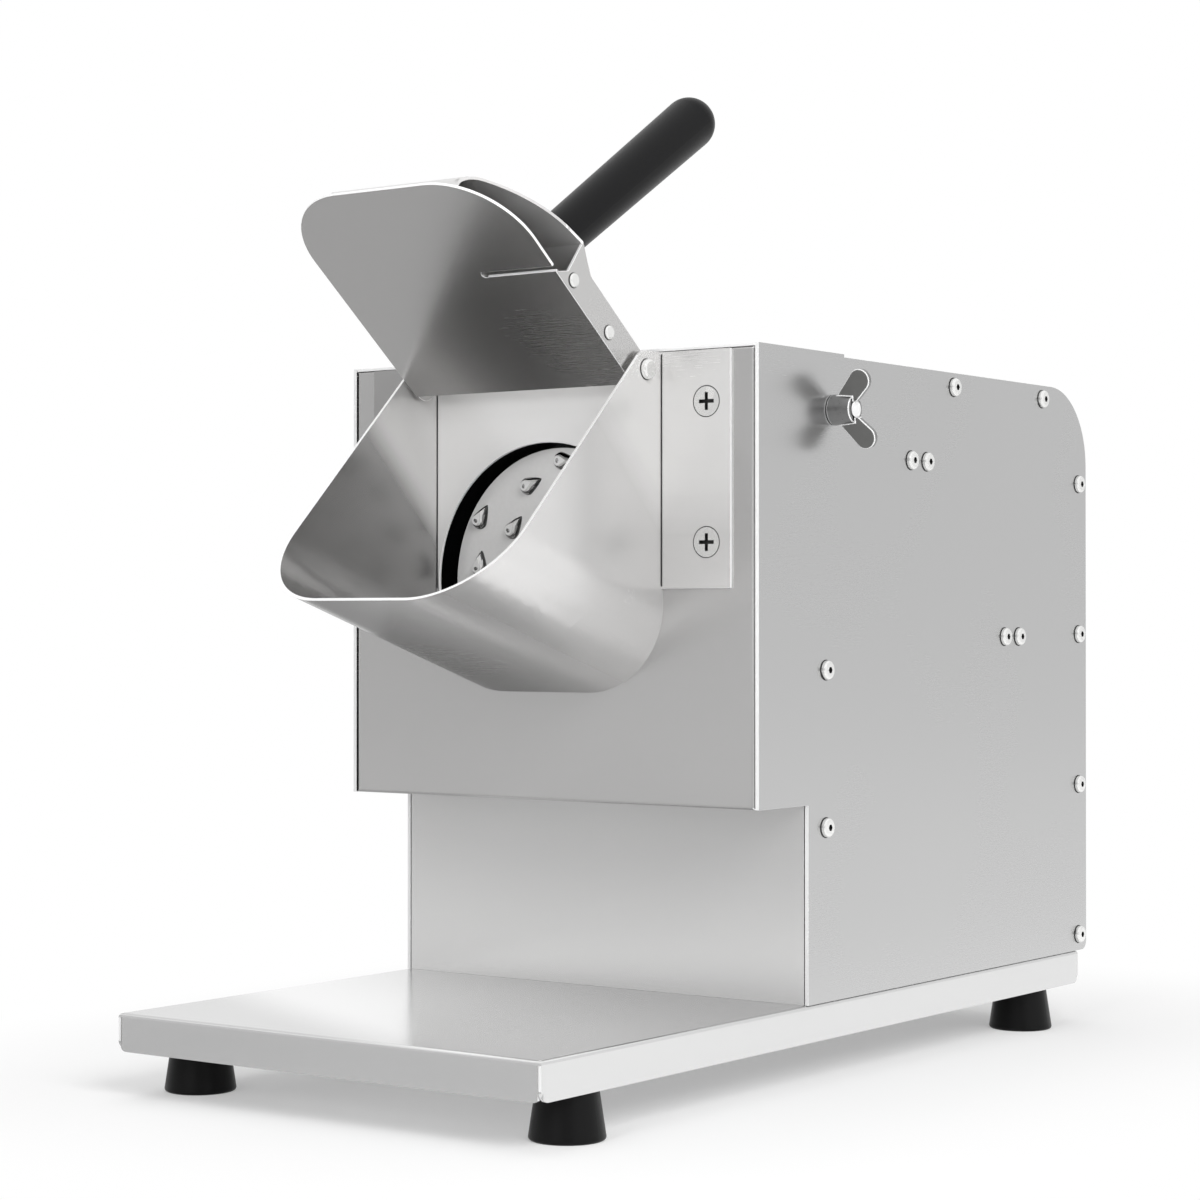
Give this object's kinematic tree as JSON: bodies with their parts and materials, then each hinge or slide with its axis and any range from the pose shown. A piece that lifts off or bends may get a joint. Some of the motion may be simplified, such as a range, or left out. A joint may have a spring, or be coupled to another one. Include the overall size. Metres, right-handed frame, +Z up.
{
  "type": "electric cheese grater",
  "caption": "Table-top electric grater: folded steel housing on a base tray, U-shaped feed chute with a hinged hand pusher, toothed grating disc driven by a motor.",
  "frame": {"origin": "on the table, at the middle of the whole machine's bounding box seen from above", "axes": "+Z up, the feed chute faces -Y, +X is to the right of the machine seen from behind, which is the right of the picture"},
  "size_m": [0.2946, 0.528, 0.5013],
  "materials": {
    "stainless": "brushed",
    "fasteners": "polished",
    "steel": "turned",
    "disc": "polished",
    "rubber": "matt black",
    "grip": "satin black",
    "black_plastic": "matt black",
    "laminations": "bare",
    "motor_casting": "cast",
    "motor_cover": "satin grey",
    "copper": "enamelled wire",
    "capacitor_case": "gloss",
    "green_plastic": "gloss green",
    "red_plastic": "gloss red"
  },
  "bodies": {
    "machine": {"base_tray": "stainless", "bearing_front": "steel", "bearing_rear": "steel", "brace_screws": "fasteners", "cable_gland": "black_plastic", "capacitor": "capacitor_case", "capacitor_clip": "stainless", "chamber_shroud": "stainless", "chute_nuts": "fasteners", "chute_screws": "fasteners", "cover_screws": "fasteners", "cradle_bolts": "fasteners", "fan_cover": "motor_cover", "feed_chute": "stainless", "floor_screws": "fasteners", "foot_front_left": "rubber", "foot_front_right": "rubber", "foot_nuts": "fasteners", "foot_rear_left": "rubber", "foot_rear_right": "rubber", "foot_screws": "fasteners", "gland_nut": "black_plastic", "head_front_panel": "stainless", "head_top_cover": "stainless", "hinge_nuts": "fasteners", "hinge_pins": "fasteners", "hinge_washers": "fasteners", "motor_bolts": "fasteners", "motor_cradle": "stainless", "motor_frame": "motor_casting", "motor_front_shield": "motor_casting", "motor_rear_shield": "motor_casting", "rear_cover": "stainless", "recess_panel": "stainless", "recess_screws": "fasteners", "shaft_seal": "black_plastic", "side_panel_left": "stainless", "side_panel_right": "stainless", "stator_core": "laminations", "stator_windings": "copper", "switch_body": "black_plastic", "terminal_box": "black_plastic", "upper_brace": "stainless", "wing_studs": "fasteners"},
    "rotor": {"grating_disc": "disc", "disc_hub": "steel", "centre_bolt": "fasteners", "motor_shaft": "steel", "rotor_core": "laminations", "cooling_fan": "black_plastic"},
    "pusher": {"pusher_plate": "stainless", "pusher_back": "stainless", "pusher_rivets": "fasteners", "handle_stem": "steel", "handle_bolt": "fasteners", "handle_grip": "grip"},
    "wing_nut_left": {"wing_nut_left": "fasteners"},
    "wing_nut_right": {"wing_nut_right": "fasteners"},
    "start_button": {"start_button": "green_plastic"},
    "stop_button": {"stop_button": "red_plastic"}
  },
  "joints": [
    {"name": "disc_spin", "type": "hinge", "parent": "machine", "child": "rotor", "pos_m": [0, -0.05, 0.245], "axis": [0, -1, 0], "continuous": true},
    {"name": "pusher_swing", "type": "hinge", "parent": "machine", "child": "pusher", "pos_m": [0, -0.11, 0.344], "axis": [1, 0, 0], "range_deg": [-37, 126]},
    {"name": "wing_nut_left_turn", "type": "hinge", "parent": "machine", "child": "wing_nut_left", "pos_m": [-0.13, -0.0292, 0.327], "axis": [-1, 0, 0], "continuous": true},
    {"name": "wing_nut_right_turn", "type": "hinge", "parent": "machine", "child": "wing_nut_right", "pos_m": [0.13, -0.0292, 0.327], "axis": [1, 0, 0], "continuous": true},
    {"name": "start_press", "type": "slide", "parent": "machine", "child": "start_button", "axis": [1, 0, 0], "range_m": [0, 0.003], "stiffness_N_per_m": 600},
    {"name": "stop_press", "type": "slide", "parent": "machine", "child": "stop_button", "axis": [1, 0, 0], "range_m": [0, 0.003], "stiffness_N_per_m": 600}
  ]
}
